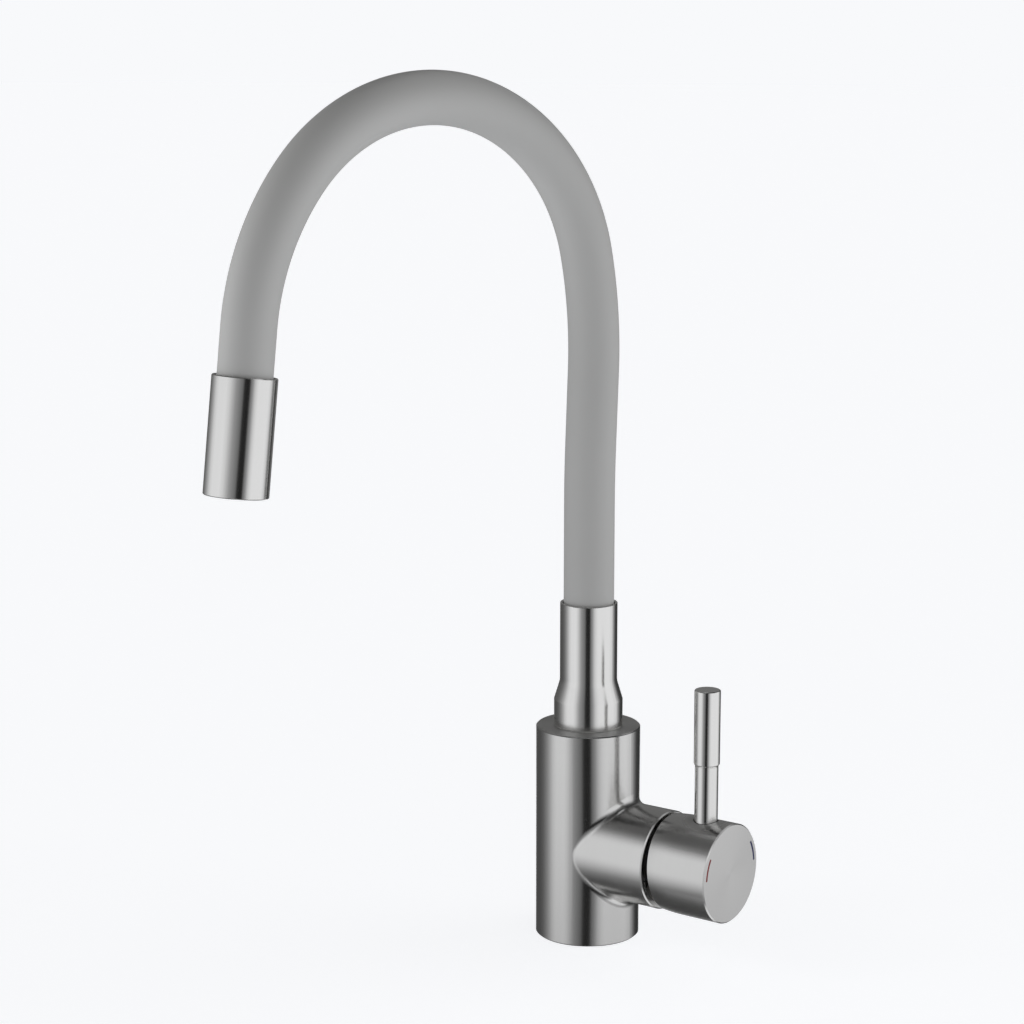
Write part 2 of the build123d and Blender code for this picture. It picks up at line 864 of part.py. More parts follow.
def outlet_nut():
    """The hexagonal nut that holds the upper fitting in the outlet."""
    low = outlet_socket_depth + outlet_web_depth + seat_clearance
    blank = extrude(RegularPolygon(outlet_nut_flats / 2, 6, major_radius=False), outlet_nut_depth)
    bore = outlet_web_bore_radius
    return at_outlet(Pos(0, 0, low) * blank - upright(bore, low - overrun, low + outlet_nut_depth + overrun))


def aerator_near():
    """How far below the outlet's upper rim the aerator starts."""
    return outlet_length - aerator_recess - aerator_length


def outlet_housing():
    """The plain metal cylinder at the spout's end."""
    shell = upright(outlet_radius, 0, outlet_length)
    rims = circles_at(shell, outlet_radius, 0) + circles_at(shell, outlet_radius, outlet_length)
    shell = chamfer(rims, outlet_edge)
    chamber = outlet_socket_depth + outlet_web_depth
    shell -= upright(outlet_socket_radius, -overrun, outlet_socket_depth)
    shell -= upright(outlet_web_bore_radius, 0, outlet_length)
    shell -= upright(outlet_chamber_radius, chamber, outlet_length)
    return at_outlet(shell - upright(aerator_bore_radius, aerator_near() - aerator_seal_depth,
                                     outlet_length + overrun))


def aerator_seal():
    """The flat rubber washer above the aerator."""
    near = aerator_near()
    outer = aerator_bore_radius - seat_clearance
    return at_outlet(upright_ring(outer, outer - aerator_seal_width, near - aerator_seal_depth, near))


def aerator_housing():
    """The threaded aerator ring, with two notches for its key and an inner lip."""
    near = aerator_near()
    far = near + aerator_length
    outer = aerator_bore_radius - seat_clearance
    inner = outer - aerator_wall
    ring = upright_ring(outer, inner, near, far)
    ring += upright_ring(inner + overrun / 2, inner - aerator_lip, far - aerator_lip, far)
    notch = Pos(0, 0, far) * Box(2 * outer + overrun, aerator_key_width, 2 * aerator_key_depth)
    return at_outlet(ring - (notch & upright_ring(outer + overrun, inner, near, far + overrun)))


def hole_places(pitch, reach):
    """The centres of a honeycomb of holes within a reach."""
    rows = math.ceil(reach / pitch)
    places = []
    for row in range(-rows, rows + 1):
        for column in range(-rows, rows + 1):
            x = pitch * (column + row / 2)
            y = pitch * row * math.sin(math.radians(60))
            if math.hypot(x, y) <= reach:
                places.append((x, y))
    return places


def holed_disc(radius, near, far, hole_radius, pitch):
    """A disc with a honeycomb of round holes."""
    reach = radius - 2 * hole_radius
    outline = Circle(radius)
    outline -= [Pos(x, y) * Circle(hole_radius) for x, y in hole_places(pitch, reach)]
    return Pos(0, 0, near) * extrude(outline, far - near)


def aerator_screen():
    """The fine metal screen at the aerator's inlet."""
    near = aerator_near()
    radius = aerator_bore_radius - aerator_wall - 2 * seat_clearance
    return at_outlet(holed_disc(radius, near, near + screen_depth, screen_hole_radius, screen_hole_pitch))


def flow_straightener():
    """The honeycomb insert that shows at the outlet's mouth."""
    far = aerator_near() + aerator_length - aerator_lip
    radius = aerator_bore_radius - aerator_wall - 2 * seat_clearance
    return at_outlet(holed_disc(radius, far - straightener_depth, far,
                                straightener_hole_radius, straightener_hole_pitch))


def model():
    """Every piece of the faucet by its name."""
    pieces = {
        "body_casting": body_casting(),
        "base_seal": base_seal(),
        "slip_ring": slip_ring(),
        "retaining_screw": retaining_screw(),
        "cartridge_base": cartridge_base(),
        "port_seals": port_seals(),
        "disc_seals": disc_seals(),
        "fixed_disc": fixed_disc(),
        "cartridge_housing": cartridge_housing(),
        "cartridge_nut": cartridge_nut(),
        "cartridge_rotor": cartridge_rotor(),
        "stem_pin": stem_pin(),
        "moving_disc": moving_disc(),
        "disc_carrier": disc_carrier(),
        "lever_stem": lever_stem(),
        "lever_hub": lever_hub(),
        "lever_rod": lever_rod(),
        "hub_grub_screw": hub_grub_screw(),
        "hot_mark": hot_mark(),
        "cold_mark": cold_mark(),
        "spout_spigot": spout_spigot(),
        "spigot_seals": spigot_seals(),
        "spout_collar": spout_collar(),
        "lower_ferrule": lower_ferrule(),
        "silicone_sleeve": silicone_sleeve(),
        "water_tube": water_tube(),
        "upper_ferrule": upper_ferrule(),
        "outlet_housing": outlet_housing(),
        "outlet_nut": outlet_nut(),
        "aerator_seal": aerator_seal(),
        "aerator_housing": aerator_housing(),
        "aerator_screen": aerator_screen(),
        "flow_straightener": flow_straightener(),
    }
    for index in range(len(bend_lengths()) + 1):
        pieces[f"conduit_section_{index + 1}"] = conduit_section(index)
    return pieces


os.makedirs("parts", exist_ok=True)
for name, piece in model().items():
    export_step(piece, f"parts/{name}.step")
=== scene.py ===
"""The looks of the flexible kitchen faucet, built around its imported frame."""

import json
import logging
import math
from dataclasses import dataclass, field
from enum import Enum

import bpy
from mathutils import Matrix, Vector


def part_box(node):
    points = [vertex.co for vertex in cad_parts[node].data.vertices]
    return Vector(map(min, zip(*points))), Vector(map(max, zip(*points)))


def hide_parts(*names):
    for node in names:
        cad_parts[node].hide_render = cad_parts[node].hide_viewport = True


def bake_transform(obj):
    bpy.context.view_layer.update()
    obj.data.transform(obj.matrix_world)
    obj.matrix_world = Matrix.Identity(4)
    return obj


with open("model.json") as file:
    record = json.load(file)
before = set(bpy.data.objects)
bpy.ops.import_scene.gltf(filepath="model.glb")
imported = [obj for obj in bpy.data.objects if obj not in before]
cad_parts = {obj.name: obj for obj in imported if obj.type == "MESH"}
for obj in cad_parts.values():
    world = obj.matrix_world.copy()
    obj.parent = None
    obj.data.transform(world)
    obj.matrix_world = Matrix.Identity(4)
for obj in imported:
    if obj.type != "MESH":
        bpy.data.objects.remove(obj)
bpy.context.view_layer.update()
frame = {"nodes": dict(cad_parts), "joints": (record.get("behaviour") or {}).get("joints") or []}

MM = 0.001
UP = Vector((0, 0, 1))
ALONG_CARTRIDGE = Vector((1, 0, 0))
ACROSS_CARTRIDGE = Vector((0, 1, 0))
CENTRE = Vector((0, 0, 0))
Colour = tuple[float, float, float]

log = logging.getLogger("faucet")


class Graph:
    """The nodes of a material or a world, with a short call for each kind that is used."""

    def __init__(self, name: str, world: bool = False) -> None:
        """Starts a material or a world with only its output.

        Args:
            name: Its name.
            world: Whether it is a world.
        """
        self.owner = (bpy.data.worlds if world else bpy.data.materials).new(name)
        self.owner.use_nodes = True
        self.nodes = self.owner.node_tree.nodes
        self.links = self.owner.node_tree.links
        self.nodes.clear()
        self.output = self.nodes.new("ShaderNodeOutputWorld" if world else "ShaderNodeOutputMaterial")

    def add(self, kind: str, inputs: dict[str, object] | None = None, **settings: object) -> bpy.types.Node:
        """Adds a node.

        Args:
            kind: The node's type name without its ShaderNode prefix.
            inputs: What each input holds: a value, or a socket that is linked to it.
            settings: The node's own settings.

        Returns:
            The new node.
        """
        node = self.nodes.new("ShaderNode" + kind)
        for name, value in settings.items():
            setattr(node, name, value)
        for name, value in (inputs or {}).items():
            self.feed(node.inputs[name], value)
        return node

    def feed(self, socket: bpy.types.NodeSocket, value: object) -> None:
        """Links a socket into an input, or sets the input's own value.

        Args:
            socket: The input.
            value: A socket or a plain value.
        """
        if isinstance(value, bpy.types.NodeSocket):
            self.links.new(value, socket)
        else:
            socket.default_value = value

    def show(self, node: bpy.types.Node) -> None:
        """Joins a shader node to the output."""
        self.links.new(node.outputs[0], self.output.inputs["Surface"])

    def shader(self, **inputs: object) -> None:
        """Adds the surface shader and joins it to the output.

        Args:
            inputs: The shader's inputs, with an underscore for each space.
        """
        named = {name.replace("_", " "): value for name, value in inputs.items()}
        self.show(self.add("BsdfPrincipled", named))

    def coordinates(self) -> bpy.types.NodeSocket:
        """The piece's own coordinates, in metres."""
        return self.add("TexCoord").outputs["Object"]

    def mapped(self, vector: object, scale: object = (1, 1, 1), turn: Matrix | None = None,
               centre: Vector = CENTRE) -> bpy.types.NodeSocket:
        """Centres, turns and stretches coordinates.

        Args:
            vector: The coordinates to change.
            scale: The stretch along each axis after the turn.
            turn: The turn that brings the pattern's axis upright.
            centre: The point that comes to lie at the origin.

        Returns:
            The changed coordinates.
        """
        turn = turn or Matrix.Identity(3)
        upright = self.add("Mapping", {"Vector": vector, "Location": turn @ -centre,
                                       "Rotation": turn.to_euler()})
        return self.add("VectorMath", {0: upright.outputs[0], 1: scale}, operation="MULTIPLY").outputs[0]

    def noise(self, vector: object, scale: float, detail: float = 2.0) -> bpy.types.NodeSocket:
        """Soft random values between 0 and 1.

        Args:
            vector: The coordinates.
            scale: Spots per unit of the coordinates.
            detail: How many finer layers are added.

        Returns:
            The values.
        """
        node = self.add("TexNoise", {"Vector": vector, "Scale": scale, "Detail": detail})
        return node.outputs["Fac"]

    def spread(self, value: object, low: object, high: object, start: float = 0.3,
               end: float = 0.7) -> bpy.types.NodeSocket:
        """Maps a range of values smoothly onto another.

        Args:
            value: The value to map.
            low: What start becomes.
            high: What end becomes.
            start: The lower end of the range.
            end: The upper end of the range.

        Returns:
            The mapped value.
        """
        inputs = {"Value": value, "From Min": start, "From Max": end, "To Min": low, "To Max": high}
        return self.add("MapRange", inputs, interpolation_type="SMOOTHSTEP").outputs["Result"]

    def mix(self, share: object, first: object, second: object, kind: str = "FLOAT") -> bpy.types.NodeSocket:
        """Mixes two values, vectors or colours.

        Args:
            share: How much of the second one shows.
            first: The first one.
            second: The second one.
            kind: The node's type of data.

        Returns:
            The mixture.
        """
        row = ("FLOAT", "VECTOR", "RGBA").index(kind)
        node = self.add("Mix", {0: share, 2 + 2 * row: first, 3 + 2 * row: second}, data_type=kind)
        return node.outputs[row]

    def vary(self, share: object, colour: Colour, amount: float) -> bpy.types.NodeSocket:
        """Varies a colour between a darker and a lighter tone.

        Args:
            share: Where each place lies between the two, from 0 to 1.
            colour: The colour between them.
            amount: How much darker and lighter it gets.

        Returns:
            The varied colour.
        """
        darker, lighter = shade(colour, 1 - amount), shade(colour, 1 + amount)
        return self.mix(share, (*darker, 1), (*lighter, 1), "RGBA")

    def sum(self, first: object, second: object, operation: str = "ADD") -> bpy.types.NodeSocket:
        """Joins two values by one sum.

        Args:
            first: The first value.
            second: The second value.
            operation: The kind of sum.

        Returns:
            The result.
        """
        return self.add("Math", {0: first, 1: second}, operation=operation).outputs[0]

    def bump(self, height: object, depth: float) -> bpy.types.NodeSocket:
        """Turns heights into a fine relief.

        Args:
            height: The heights, between 0 and 1.
            depth: The relief's depth in metres.

        Returns:
            The changed normal.
        """
        return self.add("Bump", {"Height": height, "Distance": depth}).outputs["Normal"]


def shade(colour: Colour, factor: float) -> Colour:
    """A lighter or darker colour of the same hue.

    Args:
        colour: The colour.
        factor: How many times as light it becomes.

    Returns:
        The new colour.
    """
    return tuple(min(1.0, channel * factor) for channel in colour)


@dataclass(frozen=True)
class TurnedMetal:
    """A metal whose fine lines run round an axis, as a lathe or a brush leaves them."""

    name: str
    colour: Colour
    roughness: float = 0.22
    stretch: float = 0.8
    axis: Vector = field(default_factory=lambda: UP.copy())
    centre: Vector = field(default_factory=lambda: CENTRE.copy())
    line_width: float = 0.2 * MM
    line_length: float = 60 * MM
    line_depth: float = 0.0004 * MM
    smudge_size: float = 35 * MM
    smudge_tone: float = 0.015
    unevenness: float = 0.06

    def lines(self, graph: Graph, axis: Vector) -> bpy.types.NodeSocket:
        """The heights of lines that run round an axis.

        Args:
            graph: The material's nodes.
            axis: The axis that the lines run round.

        Returns:
            The heights.
        """
        turn = axis.rotation_difference(UP).to_matrix()
        scale = (1 / self.line_length, 1 / self.line_length, 1 / self.line_width)
        return graph.noise(graph.mapped(graph.coordinates(), scale, turn, self.centre), scale=1, detail=3)

    def tangent(self, graph: Graph, axis: Vector, centre: Vector) -> bpy.types.NodeSocket:
        """The direction in which the lines smear a reflection, which is across them in the surface.

        Args:
            graph: The material's nodes.
            axis: The axis that the lines run round.
            centre: A point on that axis.

        Returns:
            The direction, turned with the piece.
        """
        outward = graph.add("VectorMath", {0: graph.coordinates(), 1: centre}, operation="SUBTRACT")
        along = graph.add("VectorMath", {0: axis, 1: outward.outputs[0]}, operation="CROSS_PRODUCT")
        turned = graph.add("VectorTransform", {"Vector": along.outputs[0]}, vector_type="VECTOR",
                           convert_from="OBJECT", convert_to="WORLD")
        normal = graph.add("NewGeometry").outputs["Normal"]
        across = graph.add("VectorMath", {0: normal, 1: turned.outputs[0]}, operation="CROSS_PRODUCT")
        return graph.add("VectorMath", {0: across.outputs[0]}, operation="NORMALIZE").outputs[0]

    def surface(self, graph: Graph, lines: object, tangent: object, dulling: object = 1.0,
                tone: object = 1.0) -> bpy.types.Material:
        """Joins the lines, the smudges and the colour to the shader.

        Args:
            graph: The material's nodes.
            lines: The lines' heights.
            tangent: The direction in which they smear a reflection.
            dulling: How many times as rough the metal is in each place.
            tone: How many times as light the metal's colour is in each place; where it is below 1 this paints
                shade.

        Returns:
            The material.
        """
        smudges = graph.noise(graph.coordinates(), 1 / self.smudge_size, detail=3)
        change = self.unevenness * self.roughness
        rough = graph.sum(graph.spread(lines, self.roughness - change, self.roughness + change),
                          graph.spread(smudges, -change, change))
        colour = graph.vary(smudges, self.colour, self.smudge_tone)
        # The colour is scaled by tone, which paints shade where a finish passes less than 1.
        colour = graph.add("VectorMath", {0: colour, "Scale": tone}, operation="SCALE").outputs[0]
        graph.shader(Base_Color=colour, Metallic=1.0, Roughness=graph.sum(rough, dulling, "MULTIPLY"),
                     Anisotropic=self.stretch, Tangent=tangent, Normal=graph.bump(lines, self.line_depth))
        return graph.owner

    def material(self) -> bpy.types.Material:
        """The finish as a material."""
        graph = Graph(self.name)
        tangent = self.tangent(graph, self.axis, self.centre)
        return self.surface(graph, self.lines(graph, self.axis), tangent)


@dataclass(frozen=True)
class BranchedMetal(TurnedMetal):
    """A turned metal with a branch, whose lines run round an axis of its own, and a dull flat top."""

    branch_axis: Vector = field(default_factory=lambda: ALONG_CARTRIDGE.copy())
    branch_centre: Vector = field(default_factory=lambda: CENTRE.copy())
    branch_from: float = 22.6 * MM
    branch_blend: float = 0.8 * MM
    top: float = 0.0
    top_dulling: float = 2.2
    top_edge: float = 0.15 * MM

    def material(self) -> bpy.types.Material:
        """The finish as a material."""
        graph = Graph(self.name)
        across = graph.mapped(graph.coordinates(), (1, 1, 0))
        reach = graph.add("VectorMath", {0: across}, operation="LENGTH").outputs["Value"]
        share = graph.spread(reach, 0, 1, self.branch_from, self.branch_from + self.branch_blend)
        lines = graph.mix(share, self.lines(graph, self.axis), self.lines(graph, self.branch_axis))
        tangent = graph.mix(share, self.tangent(graph, self.axis, self.centre),
                            self.tangent(graph, self.branch_axis, self.branch_centre), "VECTOR")
        height = graph.add("SeparateXYZ", {"Vector": graph.coordinates()}).outputs["Z"]
        dulling = graph.spread(height, 1, self.top_dulling, self.top - self.top_edge, self.top)
        return self.surface(graph, lines, tangent, dulling)


@dataclass(frozen=True)
class SocketedMetal(TurnedMetal):
    """A turned metal that a rod stands in, with painted shade as a near-black line round the rod's foot, and
    duller metal there.
    """

    foot: Vector = field(default_factory=lambda: CENTRE.copy())
    foot_radius: float = 4.95 * MM
    # Painted shade: a thin line round the rod's foot, where the rod meets the hub, is darkened to near black.
    shade_line_width: float = 0.3 * MM
    shade_line_fade: float = 0.15 * MM
    painted_shade_tone: float = 0.05
    dull_reach: float = 6 * MM
    foot_dulling: float = 2.2

    def material(self) -> bpy.types.Material:
        """The finish as a material."""
        graph = Graph(self.name)
        apart = graph.add("VectorMath", {0: graph.coordinates(), 1: self.foot}, operation="DISTANCE")
        gap = apart.outputs["Value"]
        line = self.foot_radius + self.shade_line_width
        # Painted shade: the colour is darkened to near black inside the thin line round the rod's foot.
        tone = graph.spread(gap, self.painted_shade_tone, 1, line, line + self.shade_line_fade)
        dulling = graph.spread(gap, self.foot_dulling, 1, line, line + self.dull_reach)
        tangent = self.tangent(graph, self.axis, self.centre)
        return self.surface(graph, self.lines(graph, self.axis), tangent, dulling, tone)


@dataclass(frozen=True)
class Moulded:
    """A moulded plastic, rubber or ceramic with a fine grain and a slight drift of tone."""

    name: str
    colour: Colour
    roughness: float = 0.5
    grain_size: float = 0.4 * MM
    grain_depth: float = 0.01 * MM
    drift_size: float = 30 * MM
    drift: float = 0.03
    unevenness: float = 0.08
    specular: float = 0.5

    def material(self) -> bpy.types.Material:
        """The finish as a material."""
        graph = Graph(self.name)
        place = graph.coordinates()
        grain = graph.noise(place, 1 / self.grain_size)
        drift = graph.noise(place, 1 / self.drift_size)
        change = self.unevenness * self.roughness
        graph.shader(Base_Color=graph.vary(graph.spread(drift, 0, 1), self.colour, self.drift),
                     Roughness=graph.spread(grain, self.roughness - change, self.roughness + change),
                     Specular_IOR_Level=self.specular, Normal=graph.bump(grain, self.grain_depth))
        return graph.owner


@dataclass(frozen=True)
class Enamel:
    """A glossy paint that fills a shallow mark."""

    name: str
    colour: Colour
    roughness: float = 0.28
    ripple_size: float = 1.2 * MM
    ripple_depth: float = 0.02 * MM
    ripple_tone: float = 0.06
    specular: float = 0.2

    def material(self) -> bpy.types.Material:
        """The finish as a material."""
        graph = Graph(self.name)
        ripple = graph.noise(graph.coordinates(), 1 / self.ripple_size, detail=1)
        graph.shader(Base_Color=graph.vary(ripple, self.colour, self.ripple_tone), Roughness=self.roughness,
                     Specular_IOR_Level=self.specular, Normal=graph.bump(ripple, self.ripple_depth))
        return graph.owner


def dress(node: str, finish: TurnedMetal | Moulded | Enamel) -> None:
    """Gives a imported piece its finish.

    Args:
        node: The piece's name in the frame.
        finish: The finish.
    """
    piece = frame["nodes"][node]
    piece.data.materials.clear()
    piece.data.materials.append(finish.material())
    log.info("%s: %s", node, finish.name)


class Plating(Enum):
    """The colours of the metals."""

    NICKEL = (0.66, 0.655, 0.643)
    BRIGHT_NICKEL = (0.756, 0.75, 0.736)
    DULL_NICKEL = (0.34, 0.33, 0.31)
    BRASS = (0.80, 0.62, 0.33)
    STEEL = (0.56, 0.56, 0.57)
    CHROME = (0.70, 0.70, 0.71)


class Compound(Enum):
    """The colours of the rubbers, the plastics and the ceramic."""

    RUBBER = (0.03, 0.03, 0.03)
    DARK_PLASTIC = (0.13, 0.135, 0.15)
    SLIDING_PLASTIC = (0.55, 0.55, 0.53)
    HOSE_PLASTIC = (0.68, 0.68, 0.66)
    PALE_PLASTIC = (0.75, 0.75, 0.73)
    CERAMIC = (0.82, 0.81, 0.77)
    SILICONE = (0.40, 0.40, 0.395)


@dataclass
class Column:
    """The cast column with its side housing, the base seal and the screw in its back."""

    roughness: float = 0.22
    seal_roughness: float = 0.7
    screw_roughness: float = 0.3

    def build(self) -> None:
        """Dresses the column's pieces."""
        low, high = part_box("cartridge_housing")
        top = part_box("body_casting")[1].z
        dress("body_casting", BranchedMetal("column_nickel", Plating.NICKEL.value, self.roughness,
                                            branch_centre=(low + high) / 2, top=top))
        dress("base_seal", Moulded("base_rubber", Compound.RUBBER.value, self.seal_roughness))
        dress("retaining_screw", TurnedMetal("screw_steel", Plating.STEEL.value, self.screw_roughness))


@dataclass
class Cartridge:
    """The ceramic cartridge in the side housing."""

    plastic_roughness: float = 0.45
    rubber_roughness: float = 0.65
    ceramic_roughness: float = 0.12
    ceramic_grain: float = 0.001 * MM
    nut_roughness: float = 0.35
    pin_roughness: float = 0.25

    def build(self) -> None:
        """Dresses the cartridge's pieces."""
        for node in ("cartridge_base", "cartridge_housing", "cartridge_rotor", "disc_carrier"):
            dress(node, Moulded(f"{node}_plastic", Compound.DARK_PLASTIC.value, self.plastic_roughness))
        for node in ("port_seals", "disc_seals"):
            dress(node, Moulded(f"{node}_rubber", Compound.RUBBER.value, self.rubber_roughness))
        for node in ("fixed_disc", "moving_disc"):
            dress(node, Moulded(f"{node}_ceramic", Compound.CERAMIC.value, self.ceramic_roughness,
                                grain_depth=self.ceramic_grain))
        dress("cartridge_nut", TurnedMetal("nut_plated_brass", Plating.DULL_NICKEL.value, self.nut_roughness,
                                           axis=ALONG_CARTRIDGE))
        dress("stem_pin", TurnedMetal("pin_steel", Plating.STEEL.value, self.pin_roughness,
                                      axis=ACROSS_CARTRIDGE))


@dataclass
class Lever:
    """The hub on the cartridge's stem, its upright rod and the two colour marks."""

    hub_roughness: float = 0.22
    rod_roughness: float = 0.18
    steel_roughness: float = 0.3
    red: Colour = (0.17, 0.01, 0.008)
    blue: Colour = (0.012, 0.016, 0.075)

    def build(self) -> None:
        """Dresses the lever's pieces."""
        hub_low, hub_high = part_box("lever_hub")
        rod_low, rod_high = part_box("lever_rod")
        rod_centre = (rod_low + rod_high) / 2
        foot = Vector((rod_centre.x, rod_centre.y, hub_high.z))
        dress("lever_hub", SocketedMetal("hub_nickel", Plating.NICKEL.value, self.hub_roughness,
                                         axis=ALONG_CARTRIDGE, centre=(hub_low + hub_high) / 2, foot=foot))
        dress("lever_rod", TurnedMetal("rod_nickel", Plating.BRIGHT_NICKEL.value, self.rod_roughness,
                                       centre=rod_centre))
        dress("lever_stem", TurnedMetal("stem_steel", Plating.STEEL.value, self.steel_roughness,
                                        axis=ALONG_CARTRIDGE))
        dress("hub_grub_screw", TurnedMetal("grub_steel", Plating.STEEL.value, self.steel_roughness))
        dress("hot_mark", Enamel("hot_red", self.red))
        dress("cold_mark", Enamel("cold_blue", self.blue))


@dataclass
class Swivel:
    """The turning foot of the spout in the column's top."""

    collar_roughness: float = 0.18
    spigot_roughness: float = 0.28
    seal_roughness: float = 0.6
    ring_roughness: float = 0.4

    def build(self) -> None:
        """Dresses the swivel's pieces."""
        dress("spout_collar", TurnedMetal("collar_nickel", Plating.BRIGHT_NICKEL.value,
                                          self.collar_roughness))
        dress("spout_spigot", TurnedMetal("spigot_brass", Plating.BRASS.value, self.spigot_roughness))
        dress("spigot_seals", Moulded("spigot_rubber", Compound.RUBBER.value, self.seal_roughness))
        dress("slip_ring", Moulded("slip_ring_plastic", Compound.SLIDING_PLASTIC.value, self.ring_roughness))


@dataclass(frozen=True)
class Stretch:
    """One stretch of the gooseneck's line: a straight run, or an arc where it turns."""

    length: float
    turn: float = 0.0


def arc(radius: float, turn: float) -> Stretch:
    """An arc as a stretch.

    Args:
        radius: The arc's radius.
        turn: Its signed turn in degrees.

    Returns:
        The stretch.
    """
    return Stretch(radius * math.radians(abs(turn)), turn)


@dataclass(frozen=True)
class Place:
    """A place on the gooseneck's line: its point and its heading from upright, in degrees."""

    point: Vector
    heading: float


@dataclass
class Route:
    """The line that the gooseneck follows, in the upright plane of its arch."""

    azimuth: float = 255.0
    foot: float = 108 * MM
    riser_run: float = 81.6 * MM
    lean_radius: float = 600 * MM
    lean_turn: float = 2.3
    lean_run: float = 32.5 * MM
    rise_radius: float = 199.7 * MM
    crown_entry: float = 12.2
    crown_radius: float = 81.4 * MM
    crown_exit: float = 140.1
    drop_radius: float = 106 * MM
    outlet_heading: float = 173.6
    outlet_run: float = 18.2 * MM
    sleeve_insert: float = 12 * MM
    search_steps: int = 4000

    def stretches(self) -> list[Stretch]:
        """The line's stretches from the spigot's top into the outlet."""
        return [
            Stretch(self.riser_run),
            arc(self.lean_radius, -self.lean_turn),
            Stretch(self.lean_run),
            arc(self.rise_radius, self.lean_turn + self.crown_entry),
            arc(self.crown_radius, self.crown_exit - self.crown_entry),
            arc(self.drop_radius, self.outlet_heading - self.crown_exit),
            Stretch(self.outlet_run + self.sleeve_insert),
        ]

    def length(self) -> float:
        """The whole line's length."""
        return sum(stretch.length for stretch in self.stretches())

    def across(self) -> Vector:
        """The direction square to the arch's plane."""
        return UP.cross(self.direction(90)).normalized()

    def direction(self, heading: float) -> Vector:
        """The direction in space of a heading in the arch's plane.

        Args:
            heading: The heading from upright, in degrees.

        Returns:
            The direction.
        """
        bearing = math.radians(heading)
        plane = math.radians(self.azimuth)
        level = math.sin(bearing)
        return Vector((level * math.cos(plane), level * math.sin(plane), math.cos(bearing)))

    def advance(self, place: Place, length: float, turn: float) -> Place:
        """Goes on from a place.

        Args:
            place: Where to start.
            length: How far to go.
            turn: How much the heading changes on the way, in degrees.

        Returns:
            The place that is reached.
        """
        half = math.radians(turn / 2)
        chord = length * (math.sin(half) / half if half else 1.0)
        point = place.point + chord * self.direction(place.heading + turn / 2)
        return Place(point, place.heading + turn)

    def at(self, length: float) -> Place:
        """The place at a length along the line.

        Args:
            length: The length from the foot.

        Returns:
            The place.
        """
        place = Place(Vector((0, 0, self.foot)), 0.0)
        for stretch in self.stretches():
            if length <= stretch.length:
                return self.advance(place, length, stretch.turn * length / stretch.length)
            place = self.advance(place, stretch.length, stretch.turn)
            length -= stretch.length
        return self.advance(place, length, 0.0)

    def nearest(self, point: Vector) -> float:
        """The length along the line that lies nearest to a point.

        Args:
            point: The point.

        Returns:
            The length.
        """
        step = self.length() / self.search_steps
        lengths = [step * count for count in range(self.search_steps + 1)]
        return min(lengths, key=lambda length: (self.at(length).point - point).length)

    def between(self, start: float, end: float) -> list[Stretch]:
        """The stretches between two lengths along the line.

        Args:
            start: The first length.
            end: The second length.

        Returns:
            The stretches, the first and the last cut to fit.
        """
        kept = []
        done = 0.0
        for stretch in self.stretches():
            low = max(start, done)
            high = min(end, done + stretch.length)
            if high > low:
                kept.append(Stretch(high - low, stretch.turn * (high - low) / stretch.length))
            done += stretch.length
        return kept


def deselect() -> None:
    """Leaves object mode with nothing selected."""
    if bpy.context.object and bpy.context.object.mode != "OBJECT":
        bpy.ops.object.mode_set(mode="OBJECT")
    bpy.ops.object.select_all(action="DESELECT")


@dataclass(frozen=True)
class Tube:
    """A tube along the gooseneck's line, modelled ring by ring."""

    outer: float
    wall: float
    sides: int = 64
    ring_step: float = 2 * MM
    smooth_angle: float = 40.0
    merge_distance: float = 0.01 * MM

    def model(self, name: str, route: Route, start: float, end: float) -> bpy.types.Object:
        """Models the tube between two lengths of the line.

        Args:
            name: The piece's name.
            route: The line.
            start: The first length.
            end: The second length.

        Returns:
            The piece.
        """
        deselect()
        place = route.at(start)
        forward = route.direction(place.heading)
        across = route.across()
        turned = Matrix((across, forward.cross(across), forward)).transposed()
        bpy.ops.mesh.primitive_circle_add(vertices=self.sides, radius=self.outer, location=place.point,
                                          rotation=turned.to_euler())
        piece = bpy.context.object
        piece.name = name
        bpy.ops.object.transform_apply(location=True, rotation=True, scale=True)
        bpy.ops.object.mode_set(mode="EDIT")
        bpy.ops.mesh.select_all(action="SELECT")
        done = start
        for stretch in route.between(start, end):
            self.follow(route, done, stretch)
            done += stretch.length
        self.thicken(piece)
        return piece

    def follow(self, route: Route, start: float, stretch: Stretch) -> None:
        """Draws the selected ring along one stretch of the line.

        Args:
            route: The line.
            start: The length at which the stretch starts.
            stretch: The stretch.
        """
        steps = max(1, round(stretch.length / self.ring_step))
        place = route.at(start)
        forward = route.direction(place.heading)
        if stretch.turn == 0:
            for _ in range(steps):
                move = {"value": forward * stretch.length / steps}
                bpy.ops.mesh.extrude_region_move(TRANSFORM_OT_translate=move)
            return
        radius = stretch.length / math.radians(stretch.turn)
        middle = place.point + radius * route.direction(place.heading + 90)
        bpy.ops.mesh.spin(steps=steps, angle=-math.radians(stretch.turn), center=middle, axis=route.across())

    def thicken(self, piece: bpy.types.Object) -> None:
        """Gives the drawn skin its wall and its smooth shading.

        Args:
            piece: The piece, in edit mode.
        """
        bpy.ops.mesh.select_all(action="SELECT")
        bpy.ops.mesh.remove_doubles(threshold=self.merge_distance)
        bpy.ops.mesh.normals_make_consistent(inside=False)
        bpy.ops.object.mode_set(mode="OBJECT")
        wall = piece.modifiers.new("wall", "SOLIDIFY")
        wall.thickness = self.wall
        wall.offset = -1
        bpy.ops.object.modifier_apply(modifier=wall.name)
        bpy.ops.object.shade_smooth_by_angle(angle=math.radians(self.smooth_angle))
        piece.select_set(False)


@dataclass(frozen=True)
class Bend:
    """A joint of the gooseneck, and the reach on each side of it that sets where the hose is cut into pieces.
    """

    joint: str
    reach: float


